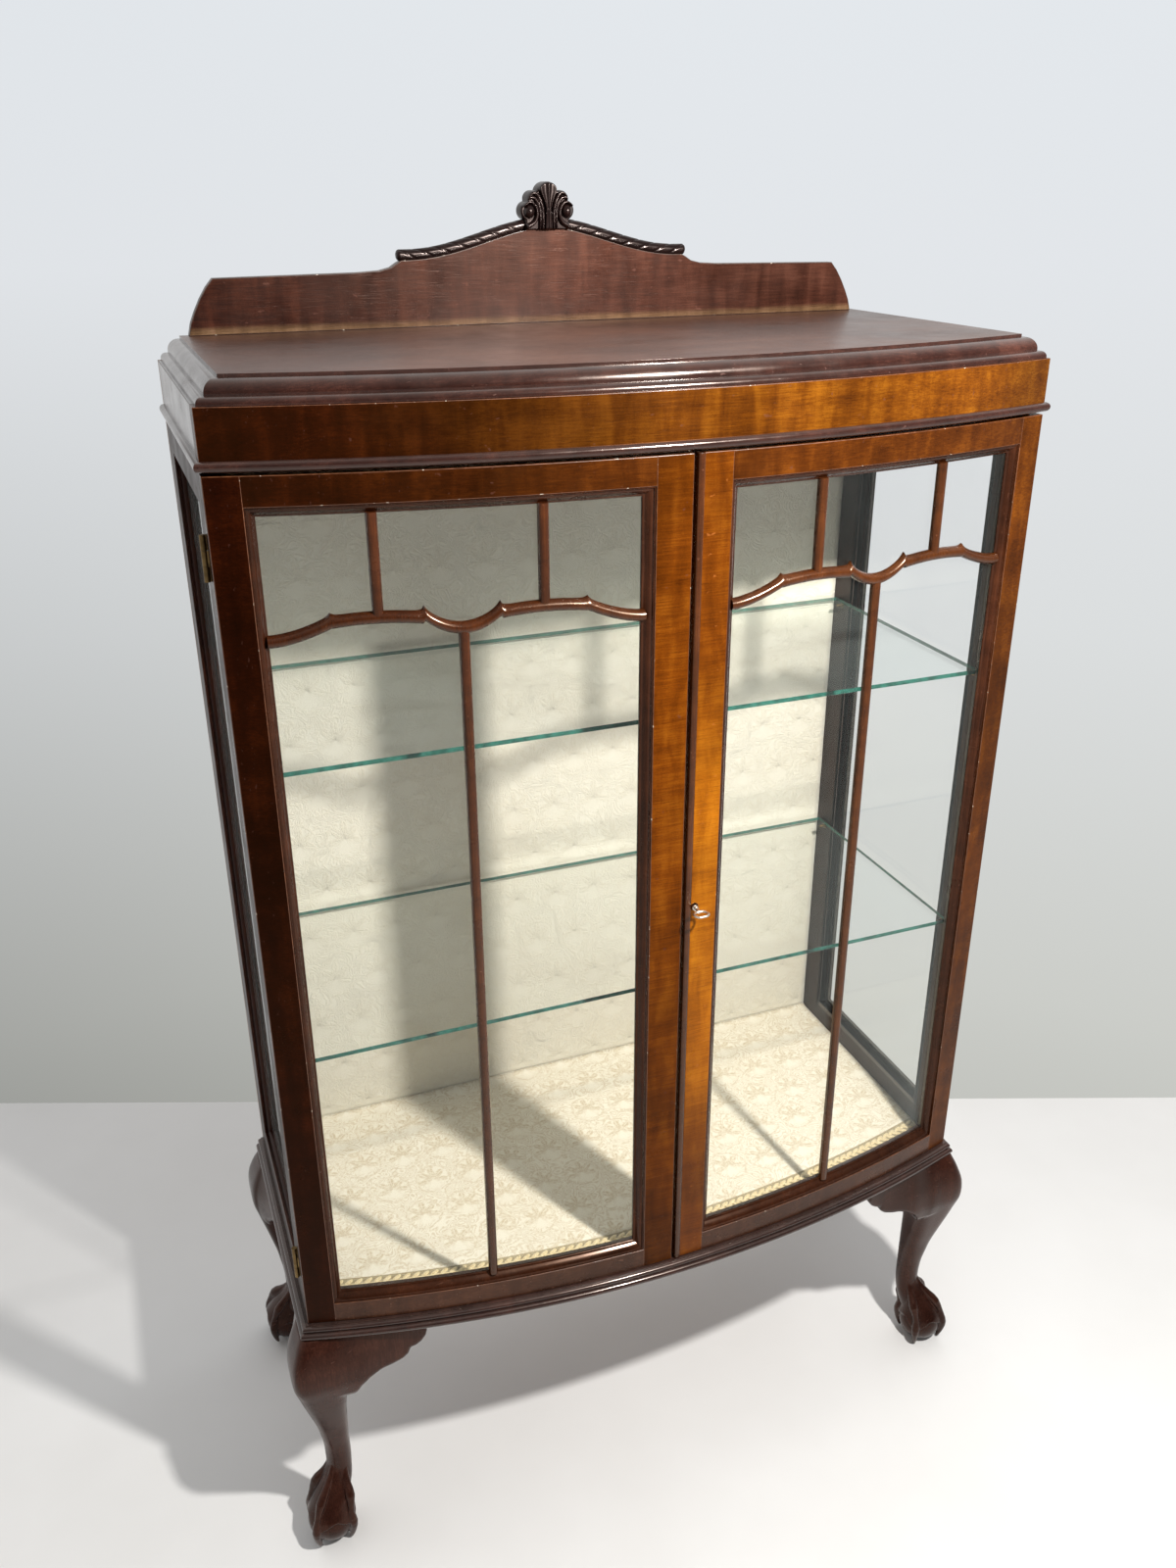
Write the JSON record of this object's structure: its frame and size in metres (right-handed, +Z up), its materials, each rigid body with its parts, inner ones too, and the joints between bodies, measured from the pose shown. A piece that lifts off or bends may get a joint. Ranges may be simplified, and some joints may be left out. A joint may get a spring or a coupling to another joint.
{
  "type": "china cabinet",
  "caption": "Bow-front display cabinet on cabriole legs with ball-and-claw feet, glazed doors and sides, glass shelves, fabric-lined inside and a shaped gallery.",
  "frame": {"origin": "on the floor, at the middle of the footprint's bounding box", "axes": "+Z up, the doors face -Y, +X to the right as seen from the front"},
  "size_m": [0.976, 0.48, 1.6317],
  "materials": {
    "carved_mahogany": "carved, French polished",
    "figured_veneer": "figured mahogany veneer, French polished",
    "top_veneer": "straight-grained mahogany veneer, worn polish",
    "dark_mahogany": "moulded mahogany, French polished",
    "plywood": "bare stained plywood",
    "pane_glass": "clear",
    "shelf_glass": "clear with green ground edges",
    "cream_damask": "woven",
    "gold_damask": "woven",
    "gold_braid": "braided",
    "old_brass": "aged",
    "bolt_steel": "filed",
    "key_nickel": "worn nickel plate"
  },
  "bodies": {
    "case": {"top_board": "top_veneer", "gallery_board": "top_veneer", "crest_carving": "carved_mahogany", "rope_mouldings": "carved_mahogany", "frieze_front": "figured_veneer", "left_frieze": "figured_veneer", "right_frieze": "figured_veneer", "frieze_bead": "dark_mahogany", "left_front_stile": "dark_mahogany", "left_back_stile": "dark_mahogany", "left_top_rail": "dark_mahogany", "left_bottom_rail": "dark_mahogany", "right_front_stile": "dark_mahogany", "right_back_stile": "dark_mahogany", "right_top_rail": "dark_mahogany", "right_bottom_rail": "dark_mahogany", "left_side_glass": "pane_glass", "right_side_glass": "pane_glass", "side_glazing_beads": "dark_mahogany", "back_panel": "plywood", "back_lining": "cream_damask", "floor_board": "plywood", "floor_lining": "gold_damask", "floor_gimp": "gold_braid", "front_base_moulding": "dark_mahogany", "left_base_moulding": "dark_mahogany", "right_base_moulding": "dark_mahogany", "front_left_leg": "carved_mahogany", "front_right_leg": "carved_mahogany", "back_left_leg": "carved_mahogany", "back_right_leg": "carved_mahogany", "knee_brackets": "carved_mahogany", "upper_shelf": "shelf_glass", "lower_shelf": "shelf_glass", "shelf_pegs": "old_brass", "case_hinge_leaves": "old_brass"},
    "left_door": {"left_outer_stile": "figured_veneer", "left_meeting_stile": "figured_veneer", "left_door_top_rail": "figured_veneer", "left_door_bottom_rail": "figured_veneer", "left_sight_moulding": "dark_mahogany", "left_astragals": "dark_mahogany", "left_door_glass": "pane_glass", "left_glazing_bead": "dark_mahogany", "left_door_hinges": "old_brass", "bolt_plate": "old_brass"},
    "right_door": {"right_outer_stile": "figured_veneer", "right_meeting_stile": "figured_veneer", "right_door_top_rail": "figured_veneer", "right_door_bottom_rail": "figured_veneer", "right_sight_moulding": "dark_mahogany", "right_astragals": "dark_mahogany", "right_door_glass": "pane_glass", "right_glazing_bead": "dark_mahogany", "right_door_hinges": "old_brass", "meeting_bead": "dark_mahogany", "lock_case": "old_brass"},
    "key": {"key": "key_nickel"},
    "lock_bolt": {"lock_bolt": "bolt_steel"},
    "door_bolt": {"door_bolt": "old_brass"}
  },
  "joints": [
    {"name": "left_door_hinge", "type": "hinge", "parent": "case", "child": "left_door", "pos_m": [-0.4603, -0.1275, 0.88], "axis": [0, 0, -1], "range_deg": [0, 105]},
    {"name": "right_door_hinge", "type": "hinge", "parent": "case", "child": "right_door", "pos_m": [0.4603, -0.1275, 0.88], "axis": [0, 0, 1], "range_deg": [0, 105]},
    {"name": "key_turn", "type": "hinge", "parent": "right_door", "child": "key", "pos_m": [0.0135, -0.2, 0.888], "axis": [0, -1, 0], "range_deg": [0, 90]},
    {"name": "lock_bolt_slide", "type": "slide", "parent": "right_door", "child": "lock_bolt", "axis": [-1, 0, 0], "range_m": [0, 0.009]},
    {"name": "door_bolt_slide", "type": "slide", "parent": "left_door", "child": "door_bolt", "axis": [0, 0, 1], "range_m": [0, 0.01]}
  ],
  "couplings": [
    {"joint": "lock_bolt_slide", "follows": "key_turn", "m_per_rad": 0.005729}
  ]
}
